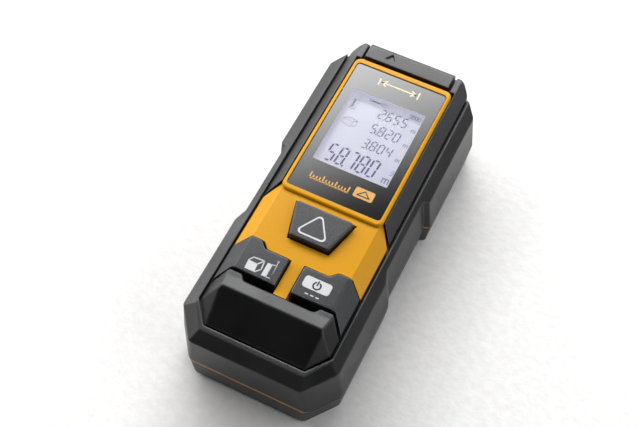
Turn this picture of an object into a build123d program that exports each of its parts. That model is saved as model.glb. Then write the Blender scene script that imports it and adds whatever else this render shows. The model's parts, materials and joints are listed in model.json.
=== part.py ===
from build123d import *
import os

# Laser distance meter: a hand-held instrument with a display, three keys and two AAA cells.
#
# Frame: +X to the user's right, +Y towards the laser end, +Z up out of the display. The origin is
# the middle of the footprint, on the flat back. Plan sketches use level(z), whose local y is the
# distance from the rear (measuring) edge, and cross sections use section(y).

os.makedirs("parts", exist_ok=True)

# ---------------------------------------------------------------- driving dimensions, mm
LENGTH = 97.4
REAR = -LENGTH / 2

# heights of the levels, from the back up
BACK_TOP = 7.2            # top rim of the rear housing
SEAL_TOP = 7.5            # top of the seal, underside of the yellow flange
FLANGE_TOP = 8.2          # top of the yellow flange that shows as the parting line
CORE_TOP = 19.4           # roof of the yellow core, under keys, rails and thumb rest
SHOULDER = 19.7           # outer edge of the bumper's top
RAIL_TOP = 20.7           # inner edge of the bumper's top
BEVEL_FOOT = 20.8         # outer edge of the side bevels
DECK_TOP = 23.7           # flat of the keypad deck
HEAD_TOP = 24.1           # inner edge of the rails beside the bezel
BEZEL_TOP = 24.5          # top of the bezel round the window
PLATE_TOP = 24.8          # top of the plate at the laser end
KEY_TOP = 25.0
KEY_BASE = 20.6           # underside of the two lower keys
BUTTON_TOP = 25.4
REST_TOP = 25.3           # ridge of the thumb rest

# half widths across X
SIDE_PARTING = 22.0       # grip zone at the parting line
SIDE_SHOULDER = 20.85     # grip zone at the shoulder
SIDE_BACK = 21.3          # grip zone at the back face
GROOVE_OUT = 17.9         # bumper's inner edge
CORE_SIDE = 17.15         # outer face of the core, rails, keys and thumb rest
DECK_SIDE = 13.4          # flat of the keypad deck
BEZEL_SIDE = 14.0
WINDOW_SIDE = 13.0

# stations along Y, measured from the rear edge
GRIP_END = 34.2
WAIST_START = 37.6
WAIST_END = 59.5          # foot of the step up to the wider zone round the display
UPPER_START = 60.2
WAIST_INSET = 1.3
FLANGE_INSET = 0.3        # the yellow flange stays this far inside the casing's sides
UPPER_STEP = 0.2          # how much wider the zone round the display is than the grip
FRONT_CORNER = (6.0, 8.0) # chamfers of the four corners, along X and Y
LASER_CORNER = (6.1, 8.0)
PLAN_RADIUS = 1.8         # rounding of the casing's corners in plan
STEP_RADIUS = 0.3
END_RADIUS = 1.8          # rounding of the head's top edge at the laser end
REST_FRONT = 5.2          # thumb rest's lower edge
REST_RIDGE = 14.4
REST_BACK = 17.8
REST_RADIUS = 0.4         # on the thumb rest's upper edges
FACET_RADIUS = 1.5        # where its front slope meets the corner facets
KEY_LOW = 19.8
KEY_HIGH = 27.8
KEY_SHOULDER = 29.6
BUTTON_STEM_Y = 38.6
BUTTON_BAY = (31.6, 45.0) # hollow under the deck for the measure button
KEY_STEM_X = 8.0
KEY_STEM_Y = 24.0
RAIL_START = 42.3         # pointed lower ends of the rails beside the bezel
BEZEL_LOW = 45.5
WINDOW_LOW = 47.0
WINDOW_HIGH = 89.6
BEZEL_HIGH = 91.3
PLATE_LOW = 91.9

WALL = 1.5
GAP = 0.35                # clearance round each moving key
TRAVEL = 0.8              # how far each of the three keys goes down
MAT_THICK = 0.3           # rubber mat under the two lower keys and the thumb rest
REST_BASE = CORE_TOP + MAT_THICK

# battery bay
CELL_RADIUS = 5.25
CELL_LENGTH = 44.5
NUB_RADIUS = 1.9          # button at the cell's positive end
NUB_RISE = 0.8
CELL_X = 5.6
CELL_Z = 7.15
CONTACT_THICK = 0.4
CONTACT_SIZE = (8.0, 7.0)
SPRING_LENGTH = 5.3
TRAY_SIDE = 11.8
TRAY_START = 7.0
TRAY_END = 59.6
TRAY_TOP = 13.8
TRAY_WALL = 0.9
COVER_SIDE = 10.85
COVER_START = 8.3
COVER_END = 58.3
COVER_THICK = 1.4
TONGUE_SIDE = 4.25
TONGUE_SLIT = 0.7
TONGUE_LENGTH = 8.0

# electronics and optics
LCD_SIDE = 11.2
LCD_LOW = 56.6
LCD_HIGH = 86.4
LCD_BASE = 18.4
BOARD_Z = 16.5
BOARD_THICK = 1.2
BOARD_TOP = BOARD_Z + BOARD_THICK
SWITCH_BASE = 0.3         # thickness of a snap dome's base
DOME_RISE = 0.25          # height of the dome on it
STEM_FOOT = BOARD_TOP + SWITCH_BASE + DOME_RISE + TRAVEL + 0.15
BOARD_SIDE = 12.0
LIGHT_THICK = 1.4         # display's backlight
PANEL_THICK = 1.9         # liquid crystal panel on it
WINDOW_DEPTH = 1.5        # seat of the window in the bezel
WINDOW_THICK = 1.2
CONNECTOR_SIZE = (17.0, 1.0, 3.6)
BOARD_START = 7.6
BOARD_END = 87.0
SWITCH_SIZE = (4.2, 3.2)
DOME_RADIUS = 1.2
CHIP_Y = 40.0
CHIP_SIZE = (7.0, 7.0, 1.1)
BUZZER_Y = 24.0
BUZZER_RADIUS = 4.5
BUZZER_THICK = 2.2
OPTICS_START = 64.0
OPTICS_END = 92.0
OPTICS_SIDE = 11.4
OPTICS_RISE = 6.4
LENS_BACK = 88.2
TUBE_END = 91.5
TUBE_LENGTH = 24.0
TUBE_WALL = 0.7
DETECTOR_SIZE = (11.0, 11.0, 0.8)
DETECTOR_GAP = 1.2        # room behind the optics block for the detector itself
LENS_X = 5.4
LASER_X = -5.4
AXIS_Z = 9.6
LENS_RADIUS = 5.6
LENS_CURVE = 9.2          # radius of the lens's front face
TUBE_RADIUS = 3.2
PLATE_SIDE = 12.2
PLATE_SLOT = 0.75
PLATE_BASE = 22.0
SCREW_X = 14.8
SCREW_STATIONS = (13.0, 60.5, 84.0)
SCREW_SEAT = 3.2
HEAD_RADIUS = 1.8
HEAD_RISE = 1.4
SOCKET_RADIUS = 0.75
SOCKET_DEPTH = 0.8
SHANK_RADIUS = 1.0
SHANK_LENGTH = 10.0
POST_RADIUS = 2.7         # posts of the rear housing round the screws
BOSS_RADIUS = 2.3         # bosses of the front housing that the screws go into
PORT_SIDE = 12.6          # half width of the opening at the laser end
PORT_RISE = 7.0           # half height of that opening
BEZEL_PLATE = 1.6         # thickness of the bezel in that opening
PANE_THICK = 0.9          # thickness of the two panes behind it
LABEL_Y = 73.0
LABEL_SIZE = (26.0, 22.0)
LABEL_SEAT = 0.3
STEM_HOLE = (6.0, 4.4)    # holes for the stems of the two lower keys
STEM_SIZE = (5.0, 3.4)
BUTTON_FLANGE = 3.0       # depth of the measure button's flange under the deck
FLANGE_THICK = 0.8
FIT = 0.02                # radial clearance of round parts in their bores


# ---------------------------------------------------------------- shared planes and outlines
def level(height):
    """Plan plane at a height; its local y runs from the rear edge towards the laser end."""
    return Plane(origin=(0, REAR, height))


def section(station):
    """Cross-section plane facing the rear; local x is X and local y is the height."""
    return Plane(origin=(0, REAR + station, 0), x_dir=(1, 0, 0), z_dir=(0, -1, 0))


def mirrored(points):
    """Close a right-hand half outline with its mirror image."""
    return points + [(-x, y) for x, y in reversed(points)]


def casing_outline(side, shrink=0.0):
    """Right half of the casing in plan: chamfered corners, grip, waist and wider upper zone."""
    upper = side + UPPER_STEP - shrink
    side = side - shrink
    return [
        (side - FRONT_CORNER[0], shrink),
        (side, FRONT_CORNER[1] + 0.3 * shrink),
        (side, GRIP_END),
        (side - WAIST_INSET, WAIST_START),
        (side - WAIST_INSET, WAIST_END),
        (upper, UPPER_START),
        (upper, LENGTH - LASER_CORNER[1]),
        (upper - LASER_CORNER[0], LENGTH - shrink),
    ]


def casing_face(height, side, shrink=0.0):
    """The casing's outline as a face at a height, with rounded corners."""
    with BuildSketch(level(height)) as plan:
        with BuildLine():
            Polyline(*mirrored(casing_outline(side, shrink)), close=True)
        make_face()
        corners = [v for v in plan.vertices() if not WAIST_END - 1 < v.Y < UPPER_START + 1]
        fillet(corners, radius=PLAN_RADIUS)
        step_corners = [v for v in plan.vertices() if WAIST_END - 0.1 < v.Y < UPPER_START + 0.1]
        fillet(step_corners, radius=STEP_RADIUS)
    return plan.sketch


def core_outline(side, front, end, corner_x=4.0, corner_y=5.8, laser_corner=0.0):
    """Right half of a straight-sided inner body; its laser end may be chamfered too."""
    points = [(side - corner_x, front), (side, front + corner_y)]
    if laser_corner:
        return points + [(side, end - 1.3 * laser_corner), (side - laser_corner, end)]
    return points + [(side, end)]


def cavity_outline():
    """Right half of the rear housing's inside; the seal runs round it."""
    return core_outline(CORE_SIDE - 0.2, 3.4, LENGTH - 2.4, laser_corner=5.5)


def key_outline(grow=0.0):
    """The right-hand key in plan; its outer wing reaches down beside the thumb rest."""
    return [
        (2.0 - grow, KEY_LOW - grow),
        (2.0 - grow, KEY_HIGH + grow),
        (8.6 - grow, KEY_HIGH + grow),
        (10.3 - grow, KEY_SHOULDER + grow),
        (13.5 + grow, KEY_SHOULDER + grow),
        (CORE_SIDE, 26.9 + grow),
        (CORE_SIDE, 16.4 - grow),
        (14.0 - grow, KEY_LOW + 0.2 - grow),
    ]


def button_outline(grow=0.0):
    """Right half of the measure button: a trapezoid, wider towards the display."""
    return [(5.3 + grow, 33.6 - grow), (8.1 + grow, 43.4 + grow)]


def bevel_section(top, flat, foot=BEVEL_FOOT, base=CORE_TOP, side=CORE_SIDE):
    """Cross section of a block with a flat top and sloping sides."""
    return mirrored([(side, base), (side, foot), (flat, top)])


BOARD_SCREWS = [(side * 10.0, station) for station in (10.0, 48.5) for side in (-1, 1)]
SCREW_PLACES = [(side * SCREW_X, station) for station in SCREW_STATIONS for side in (-1, 1)]

# ---------------------------------------------------------------- rear housing
with BuildPart() as rear_housing:
    loft(
        sections=[
            casing_face(0.0, SIDE_BACK, 1.3),
            casing_face(0.35, SIDE_BACK, 0.6),
            casing_face(1.1, SIDE_BACK, 0.1),
            casing_face(BACK_TOP, SIDE_PARTING, 0.1),
        ],
        ruled=True,
    )
    with BuildSketch(level(BACK_TOP)):
        with BuildLine():
            Polyline(*mirrored(cavity_outline()), close=True)
        make_face()
    extrude(amount=-(BACK_TOP - WALL), mode=Mode.SUBTRACT)
    with BuildSketch(level(WALL)):
        with Locations(*SCREW_PLACES):
            Circle(POST_RADIUS)
    extrude(amount=BACK_TOP - WALL)
    with BuildSketch(level(0)):
        with Locations((0, (COVER_START + COVER_END) / 2)):
            Rectangle(2 * COVER_SIDE + 0.7, COVER_END - COVER_START + 0.7)
    extrude(amount=WALL, mode=Mode.SUBTRACT)
    with BuildSketch(level(0)):
        with Locations(*SCREW_PLACES):
            Circle(HEAD_RADIUS + 0.2)
    extrude(amount=SCREW_SEAT, mode=Mode.SUBTRACT)
    with BuildSketch(level(0)):
        with Locations(*SCREW_PLACES):
            Circle(SHANK_RADIUS + 0.15)
    extrude(amount=BACK_TOP, mode=Mode.SUBTRACT)
    with BuildSketch(level(0)):
        with Locations((0, LABEL_Y)):
            RectangleRounded(*LABEL_SIZE, 1.5)
    extrude(amount=LABEL_SEAT, mode=Mode.SUBTRACT)
    with BuildSketch(section(LENGTH - 4.0)):
        with Locations((0, AXIS_Z)):
            RectangleRounded(2 * PORT_SIDE, 2 * PORT_RISE, 2.0)
    extrude(amount=-5.0, mode=Mode.SUBTRACT)
rear_housing.part.label = "rear_housing"

# ---------------------------------------------------------------- seal between the housings
with BuildPart() as housing_seal:
    extrude(casing_face(BACK_TOP, SIDE_PARTING, 0.75), amount=SEAL_TOP - BACK_TOP)
    with BuildSketch(level(BACK_TOP)):
        with BuildLine():
            Polyline(*mirrored(cavity_outline()), close=True)
        make_face()
        with Locations(*SCREW_PLACES):
            Circle(POST_RADIUS)
        with Locations((0, LENGTH)):
            Rectangle(2 * PORT_SIDE, 8.0)
    extrude(amount=SEAL_TOP - BACK_TOP, mode=Mode.SUBTRACT)
housing_seal.part.label = "housing_seal"

# ---------------------------------------------------------------- front housing, yellow
with BuildPart() as front_housing:
    extrude(casing_face(SEAL_TOP, SIDE_PARTING - FLANGE_INSET), amount=FLANGE_TOP - SEAL_TOP)
    with BuildSketch(level(FLANGE_TOP)):
        with BuildLine():
            Polyline(*mirrored(core_outline(CORE_SIDE, REST_FRONT, PLATE_LOW - 0.4)), close=True)
        make_face()
    extrude(amount=CORE_TOP - FLANGE_TOP)
    with BuildSketch(section(REST_BACK + 0.4)):
        with BuildLine():
            Polyline(*bevel_section(DECK_TOP, DECK_SIDE), close=True)
        make_face()
    extrude(amount=-(WINDOW_LOW - REST_BACK - 0.4))
    for side in (1, -1):
        with BuildSketch(level(CORE_TOP)):
            with BuildLine():
                pocket = [(1.65, 16.0)] + key_outline(GAP)[1:5]
                pocket += [(CORE_SIDE, 26.9 + GAP), (CORE_SIDE + 1, 26.9 + GAP), (CORE_SIDE + 1, 16.0)]
                Polyline(*[(side * x, y) for x, y in pocket], close=True)
            make_face()
            with BuildLine():
                Polyline(
                    (side * (BEZEL_SIDE + 0.1), WINDOW_LOW + 0.5),
                    (side * (BEZEL_SIDE + 0.1), WINDOW_LOW),
                    (side * (CORE_SIDE + 0.2), RAIL_START),
                    (side * (CORE_SIDE + 0.2), WINDOW_LOW + 0.5),
                    close=True,
                )
            make_face()
        extrude(amount=10, mode=Mode.SUBTRACT)
    with BuildSketch(level(CORE_TOP)):
        with Locations((0, (BEZEL_LOW + BEZEL_HIGH) / 2)):
            RectangleRounded(2 * BEZEL_SIDE, BEZEL_HIGH - BEZEL_LOW, 2.0)
    extrude(amount=BEZEL_TOP - CORE_TOP)
    bezel_rim = front_housing.faces().filter_by(Axis.Z).sort_by(Axis.Z)[-1].edges()
    fillet(bezel_rim, radius=0.7)
    # cavity under the roof, then under the deck and the window
    with BuildSketch(level(SEAL_TOP)):
        with BuildLine():
            inner = core_outline(CORE_SIDE - WALL, REST_FRONT + WALL, PLATE_LOW - 0.4 - WALL)
            Polyline(*mirrored(inner), close=True)
        make_face()
    extrude(amount=CORE_TOP - WALL - SEAL_TOP, mode=Mode.SUBTRACT)
    with BuildSketch(level(SEAL_TOP)):
        with Locations((0, sum(BUTTON_BAY) / 2)):
            Rectangle(2 * BOARD_SIDE + 0.8, BUTTON_BAY[1] - BUTTON_BAY[0])
    extrude(amount=DECK_TOP - WALL - SEAL_TOP, mode=Mode.SUBTRACT)
    with BuildSketch(level(SEAL_TOP)):
        with Locations((0, (LCD_LOW + LCD_HIGH) / 2)):
            Rectangle(2 * LCD_SIDE + 0.6, LCD_HIGH - LCD_LOW + 3.0)
    extrude(amount=BEZEL_TOP - SEAL_TOP, mode=Mode.SUBTRACT)
    with BuildSketch(level(BEZEL_TOP)):
        with Locations((0, (WINDOW_LOW + WINDOW_HIGH) / 2)):
            RectangleRounded(2 * WINDOW_SIDE, WINDOW_HIGH - WINDOW_LOW, 1.0)
    extrude(amount=-WINDOW_DEPTH, mode=Mode.SUBTRACT)
    # opening of the measure button and the key stems
    with BuildSketch(level(CORE_TOP)):
        with BuildLine():
            Polyline(*mirrored(button_outline(GAP)), close=True)
        make_face()
    extrude(amount=10, mode=Mode.SUBTRACT)
    with BuildSketch(level(CORE_TOP)):
        with Locations((-KEY_STEM_X, KEY_STEM_Y), (KEY_STEM_X, KEY_STEM_Y)):
            RectangleRounded(*STEM_HOLE, 1.0)
    extrude(amount=-WALL, mode=Mode.SUBTRACT)
    # open the laser end for the optics
    with BuildSketch(section(PLATE_LOW - 4.0)):
        with Locations((0, AXIS_Z)):
            Rectangle(2 * PORT_SIDE, 2 * PORT_RISE)
    extrude(amount=-12.0, mode=Mode.SUBTRACT)
    with BuildSketch(level(SEAL_TOP)):
        with Locations(*SCREW_PLACES):
            Circle(BOSS_RADIUS)
    extrude(amount=CORE_TOP - SEAL_TOP - 0.5)
    with BuildSketch(level(SEAL_TOP)):
        with Locations(*SCREW_PLACES):
            Circle(SHANK_RADIUS + 0.05)
    extrude(amount=8.0, mode=Mode.SUBTRACT)
    with BuildSketch(level(CORE_TOP - WALL)):
        with Locations(*BOARD_SCREWS):
            Circle(0.75)
    extrude(amount=1.2, mode=Mode.SUBTRACT)
front_housing.part.label = "front_housing"

# ---------------------------------------------------------------- bumper round the grip
with BuildPart() as bumper_roof:
    with BuildSketch(level(0)):
        with Locations((0, LENGTH / 2)):
            Rectangle(80, 160)
    extrude(amount=SHOULDER - 1)
    rail_slope = (SIDE_SHOULDER - GROOVE_OUT) / (RAIL_TOP - SHOULDER)
    for height, spread in ((SHOULDER - 1, 2 * rail_slope), (RAIL_TOP, 0.0)):
        with BuildSketch(level(height)):
            with BuildLine():
                half = [
                    (13.8 + 0.37 * spread, 3.5 - 1.19 * spread),
                    (GROOVE_OUT + spread, 9.4 - 0.68 * spread),
                    (GROOVE_OUT + spread, LENGTH + 20),
                ]
                Polyline(*mirrored(half), close=True)
            make_face()
    loft(ruled=True)

with BuildPart() as bumper:
    loft(
        sections=[
            casing_face(FLANGE_TOP, SIDE_PARTING),
            casing_face(SHOULDER, SIDE_SHOULDER),
            casing_face(RAIL_TOP + 0.5, SIDE_SHOULDER - 0.05),
        ],
        ruled=True,
    )
    add(bumper_roof.part, mode=Mode.INTERSECT)
    with BuildSketch(level(FLANGE_TOP)):
        with BuildLine():
            Polyline(*mirrored(core_outline(CORE_SIDE, REST_FRONT, LENGTH + 1)), close=True)
        make_face()
    extrude(amount=RAIL_TOP, mode=Mode.SUBTRACT)
    # groove between the bumper and what it surrounds
    with BuildSketch(level(CORE_TOP)):
        with BuildLine():
            groove = core_outline(GROOVE_OUT, 4.8, LENGTH + 1, corner_x=4.5)
            Polyline(*mirrored(groove), close=True)
        make_face()
    extrude(amount=RAIL_TOP, mode=Mode.SUBTRACT)
bumper.part.label = "bumper"

# ---------------------------------------------------------------- head frame with the side rails
with BuildPart() as head_frame:
    with BuildSketch(section(RAIL_START)):
        with BuildLine():
            Polyline(*bevel_section(HEAD_TOP, 14.4), close=True)
        make_face()
    extrude(amount=-(LENGTH - RAIL_START))
    end_face = head_frame.faces().sort_by(Axis.Y)[-1]
    end_rim = end_face.edges().filter_by(lambda edge: edge.center().Z > BEVEL_FOOT)
    fillet(end_rim, radius=END_RADIUS)
    with BuildSketch(level(FLANGE_TOP)):
        with BuildLine():
            Polyline(*mirrored([(CORE_SIDE, PLATE_LOW - 0.2), (CORE_SIDE, LENGTH)]), close=True)
        make_face()
    extrude(amount=CORE_TOP - FLANGE_TOP)
    with BuildSketch(level(FLANGE_TOP)):
        with BuildLine():
            nose = [(CORE_SIDE, RAIL_START - 2), (CORE_SIDE, LENGTH - 3.0), (14.2, LENGTH)]
            Polyline(*mirrored(nose), close=True)
        make_face()
        nose_corners = [v for v in vertices() if v.Y > WINDOW_LOW]
        fillet(nose_corners, radius=1.6)
    extrude(amount=30, mode=Mode.INTERSECT)
    # room for the bezel, with the rails' pointed lower ends
    with BuildSketch(level(CORE_TOP)):
        with BuildLine():
            bezel_room = [(CORE_SIDE + 1, RAIL_START - 1.3), (CORE_SIDE + 1, RAIL_START + 0.5)]
            bezel_room += [(BEZEL_SIDE + 0.3, WINDOW_LOW + 0.3)]
            bezel_room += [(BEZEL_SIDE + 0.3, BEZEL_HIGH + 0.2)]
            Polyline(*mirrored(bezel_room), close=True)
        make_face()
    extrude(amount=10, mode=Mode.SUBTRACT)
    # seat of the head plate, wider than the plate by a slot on each side
    with BuildSketch(level(PLATE_BASE)):
        with Locations((0, LENGTH)):
            Rectangle(2 * (PLATE_SIDE + PLATE_SLOT), 2 * (LENGTH - BEZEL_HIGH))
    extrude(amount=10, mode=Mode.SUBTRACT)
    with BuildSketch(section(90.0)):
        with Locations((0, AXIS_Z)):
            Rectangle(2 * PORT_SIDE, 2 * PORT_RISE)
    extrude(amount=-12.0, mode=Mode.SUBTRACT)
    with BuildSketch(level(FLANGE_TOP)):
        with Locations((0, 93.0)):
            Rectangle(2 * PORT_SIDE, 7.0)
    extrude(amount=PLATE_BASE - FLANGE_TOP - 3.0, mode=Mode.SUBTRACT)
head_frame.part.label = "head_frame"

# ---------------------------------------------------------------- head plate with the aiming arrow
with BuildPart() as head_plate:
    with BuildSketch(level(PLATE_BASE)):
        with Locations((0, (PLATE_LOW + LENGTH) / 2)):
            Rectangle(2 * PLATE_SIDE, LENGTH - PLATE_LOW)
    extrude(amount=PLATE_TOP - PLATE_BASE)
    far_edge = head_plate.faces().sort_by(Axis.Z)[-1].edges().sort_by(Axis.Y)[-1]
    fillet(far_edge, radius=END_RADIUS)
    with BuildSketch(level(PLATE_TOP)):
        with Locations((LASER_X, 94.3)):
            Triangle(a=2.8, b=2.5, c=2.5)
    extrude(amount=-0.5, mode=Mode.SUBTRACT)
head_plate.part.label = "head_plate"

# ---------------------------------------------------------------- rubber mat under keys and thumb rest
with BuildPart() as keypad_mat:
    with BuildSketch(level(CORE_TOP)):
        with BuildLine():
            mat = core_outline(CORE_SIDE, REST_FRONT, 26.9)
            mat += [(13.4, KEY_SHOULDER), (10.4, KEY_SHOULDER), (8.7, KEY_HIGH)]
            mat += [(2.0, KEY_HIGH), (2.0, REST_BACK + 0.2)]
            Polyline(*mirrored(mat), close=True)
        make_face()
        with Locations((-KEY_STEM_X, KEY_STEM_Y), (KEY_STEM_X, KEY_STEM_Y)):
            RectangleRounded(*STEM_HOLE, 1.0, mode=Mode.SUBTRACT)
    extrude(amount=MAT_THICK)
keypad_mat.part.label = "keypad_mat"

# ---------------------------------------------------------------- thumb rest below the keys
with BuildPart() as thumb_rest:
    with BuildSketch(level(REST_BASE)):
        with BuildLine():
            plan = core_outline(CORE_SIDE, REST_FRONT, 15.4, corner_y=5.7)
            plan += [(13.7, REST_BACK + 1.6), (10.6, REST_BACK + 1.6), (9.2, REST_BACK)]
            Polyline(*mirrored(plan), close=True)
        make_face()
    extrude(amount=REST_TOP - REST_BASE)
    with BuildSketch(Plane.YZ):
        with BuildLine():
            side_view = [
                (REST_FRONT - 1, REST_BASE),
                (REST_FRONT - 1, BEVEL_FOOT - 0.4),
                (REST_RIDGE, REST_TOP),
                (REST_BACK, REST_TOP - 0.7),
                (REST_BACK + 3, REST_TOP - 1.0),
                (REST_BACK + 3, REST_BASE),
            ]
            Polyline(*[(REAR + y, z) for y, z in side_view], close=True)
        make_face()
    extrude(amount=CORE_SIDE + 1, both=True, mode=Mode.INTERSECT)
    with BuildSketch(section(0)):
        with BuildLine():
            Polyline(*bevel_section(REST_TOP, 13.4, base=REST_BASE), close=True)
        make_face()
    extrude(amount=-30, mode=Mode.INTERSECT)
    for side in (1, -1):
        outer = Vector(side * CORE_SIDE, REAR + REST_FRONT + 5.7, BEVEL_FOOT)
        front = Vector(side * (CORE_SIDE - 4.0), REAR + REST_FRONT, BEVEL_FOOT)
        crest = Vector(side * 13.6, REAR + 12.6, 24.4)
        facing = (front - outer).cross(crest - outer)
        if facing.Z < 0:
            facing = facing * -1
        split(bisect_by=Plane(origin=outer, z_dir=facing), keep=Keep.BOTTOM)
    facet_edges = thumb_rest.edges().filter_by(lambda edge: edge.length > 9 and abs(edge.center().X) > 9)
    fillet(facet_edges, radius=FACET_RADIUS)
    crest_edges = thumb_rest.edges().filter_by(lambda edge: edge.center().Z > BEVEL_FOOT + 0.7)
    fillet(crest_edges, radius=REST_RADIUS)
thumb_rest.part.label = "thumb_rest"

# ---------------------------------------------------------------- measure button
with BuildPart() as measure_button:
    with BuildSketch(level(DECK_TOP - BUTTON_FLANGE + FLANGE_THICK)) as button_plan:
        with BuildLine():
            Polyline(*mirrored(button_outline()), close=True)
        make_face()
        fillet(button_plan.vertices(), radius=0.9)
    extrude(amount=BUTTON_TOP - DECK_TOP + BUTTON_FLANGE - FLANGE_THICK)
    button_rim = measure_button.faces().sort_by(Axis.Z)[-1].edges()
    fillet(button_rim, radius=0.45)
    with BuildSketch(level(DECK_TOP - BUTTON_FLANGE)) as flange_plan:
        with BuildLine():
            Polyline(*mirrored(button_outline(1.0)), close=True)
        make_face()
        fillet(flange_plan.vertices(), radius=0.9)
    extrude(amount=FLANGE_THICK)
    with BuildSketch(level(STEM_FOOT)):
        with Locations((0, BUTTON_STEM_Y)):
            Circle(1.6)
    extrude(amount=DECK_TOP - BUTTON_FLANGE - STEM_FOOT)
measure_button.part.label = "measure_button"

# ---------------------------------------------------------------- mode key (left) and power key (right)
keys = []
for side, key_name in ((-1, "mode_key"), (1, "power_key")):
    with BuildPart() as key:
        with BuildSketch(level(KEY_BASE)):
            with BuildLine():
                Polyline(*[(side * x, y) for x, y in key_outline()], close=True)
            make_face()
        extrude(amount=KEY_TOP - KEY_BASE)
        with BuildSketch(section(0)):
            with BuildLine():
                Polyline(*bevel_section(KEY_TOP, 13.2, foot=21.3, base=KEY_BASE), close=True)
            make_face()
        extrude(amount=-40, mode=Mode.INTERSECT)
        key_rim = key.faces().filter_by(Axis.Z).sort_by(Axis.Z)[-1].edges()
        chamfer(key_rim, length=0.2)
        with BuildSketch(level(STEM_FOOT)):
            with Locations((side * KEY_STEM_X, KEY_STEM_Y)):
                RectangleRounded(*STEM_SIZE, 0.8)
        extrude(amount=KEY_BASE - STEM_FOOT)
    key.part.label = key_name
    keys.append(key)

# ---------------------------------------------------------------- window and display
with BuildPart() as display_window:
    with BuildSketch(level(BEZEL_TOP - WINDOW_DEPTH)):
        with Locations((0, (WINDOW_LOW + WINDOW_HIGH) / 2)):
            RectangleRounded(2 * WINDOW_SIDE - 0.2, WINDOW_HIGH - WINDOW_LOW - 0.2, 0.9)
    extrude(amount=WINDOW_THICK)
display_window.part.label = "display_window"

with BuildPart() as lcd_backlight:
    with BuildSketch(level(LCD_BASE)):
        with Locations((0, (LCD_LOW + LCD_HIGH) / 2)):
            Rectangle(2 * LCD_SIDE, LCD_HIGH - LCD_LOW)
    extrude(amount=LIGHT_THICK)
lcd_backlight.part.label = "lcd_backlight"

with BuildPart() as lcd_panel:
    with BuildSketch(level(LCD_BASE + LIGHT_THICK)):
        with Locations((0, (LCD_LOW + LCD_HIGH) / 2)):
            Rectangle(2 * LCD_SIDE, LCD_HIGH - LCD_LOW)
    extrude(amount=PANEL_THICK)
lcd_panel.part.label = "lcd_panel"

with BuildPart() as lcd_connector:
    with BuildSketch(level(BOARD_TOP)):
        with Locations((0, LCD_LOW - 0.6)):
            Rectangle(*CONNECTOR_SIZE[:2])
    extrude(amount=CONNECTOR_SIZE[2])
lcd_connector.part.label = "lcd_connector"

# ---------------------------------------------------------------- main board and what is on it
with BuildPart() as main_board:
    with BuildSketch(level(BOARD_Z)):
        with Locations((0, (BOARD_START + BOARD_END) / 2)):
            Rectangle(2 * BOARD_SIDE, BOARD_END - BOARD_START)
        with Locations(*BOARD_SCREWS):
            Circle(0.8, mode=Mode.SUBTRACT)
    extrude(amount=BOARD_THICK)
main_board.part.label = "main_board"

dome_switches = []
DOMES = {"measure_switch": (0, BUTTON_STEM_Y), "mode_switch": (-KEY_STEM_X, KEY_STEM_Y)}
DOMES["power_switch"] = (KEY_STEM_X, KEY_STEM_Y)
for switch_name, place in DOMES.items():
    with BuildPart() as dome_switch:
        with BuildSketch(level(BOARD_TOP)):
            with Locations(place):
                Rectangle(*SWITCH_SIZE)
        extrude(amount=SWITCH_BASE)
        with BuildSketch(level(BOARD_TOP + SWITCH_BASE)):
            with Locations(place):
                Circle(DOME_RADIUS)
        extrude(amount=DOME_RISE)
    dome_switch.part.label = switch_name
    dome_switches.append(dome_switch)

with BuildPart() as controller_chip:
    with BuildSketch(level(BOARD_Z - CHIP_SIZE[2])):
        with Locations((0, CHIP_Y)):
            Rectangle(*CHIP_SIZE[:2])
    extrude(amount=CHIP_SIZE[2])
controller_chip.part.label = "controller_chip"

with BuildPart() as buzzer:
    with BuildSketch(level(BOARD_Z - BUZZER_THICK)):
        with Locations((0, BUZZER_Y)):
            Circle(BUZZER_RADIUS)
    extrude(amount=BUZZER_THICK)
    with BuildSketch(level(BOARD_Z - BUZZER_THICK)):
        with Locations((0, BUZZER_Y)):
            Circle(BUZZER_RADIUS / 5)
    extrude(amount=0.6, mode=Mode.SUBTRACT)
buzzer.part.label = "buzzer"

with BuildPart() as board_screws:
    with BuildSketch(level(BOARD_Z - 1.0)):
        with Locations(*BOARD_SCREWS):
            Circle(1.4)
    extrude(amount=1.0)
    with BuildSketch(level(BOARD_Z)):
        with Locations(*BOARD_SCREWS):
            Circle(0.7)
    extrude(amount=2.4)
board_screws.part.label = "board_screws"

# ---------------------------------------------------------------- optics at the laser end
with BuildPart() as optics_block:
    with BuildSketch(level(AXIS_Z - OPTICS_RISE)):
        with Locations((0.6, (OPTICS_START + OPTICS_END) / 2)):
            RectangleRounded(2 * OPTICS_SIDE, OPTICS_END - OPTICS_START, 1.0)
    extrude(amount=2 * OPTICS_RISE)
    with BuildSketch(section(OPTICS_END)):
        with Locations((LENS_X, AXIS_Z)):
            Circle(LENS_RADIUS + FIT)
    extrude(amount=OPTICS_END - LENS_BACK, mode=Mode.SUBTRACT)
    # light funnel from the lens down to the detector
    with BuildSketch(section(LENS_BACK)):
        with Locations((LENS_X, AXIS_Z)):
            Circle(LENS_RADIUS - 0.6)
    with BuildSketch(section(OPTICS_START)):
        with Locations((LENS_X, AXIS_Z)):
            Circle(2.4)
    loft(mode=Mode.SUBTRACT)
    with BuildSketch(section(OPTICS_END)):
        with Locations((LASER_X, AXIS_Z)):
            Circle(TUBE_RADIUS + FIT)
    extrude(amount=OPTICS_END - OPTICS_START, mode=Mode.SUBTRACT)
optics_block.part.label = "optics_block"

with BuildPart() as receiver_lens:
    with BuildSketch(section(LENS_BACK)):
        with Locations((LENS_X, AXIS_Z)):
            Circle(LENS_RADIUS)
    extrude(amount=-(TUBE_END - LENS_BACK))
    with Locations((LENS_X, REAR + TUBE_END - LENS_CURVE, AXIS_Z)):
        Sphere(LENS_CURVE, mode=Mode.INTERSECT)
receiver_lens.part.label = "receiver_lens"

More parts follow.
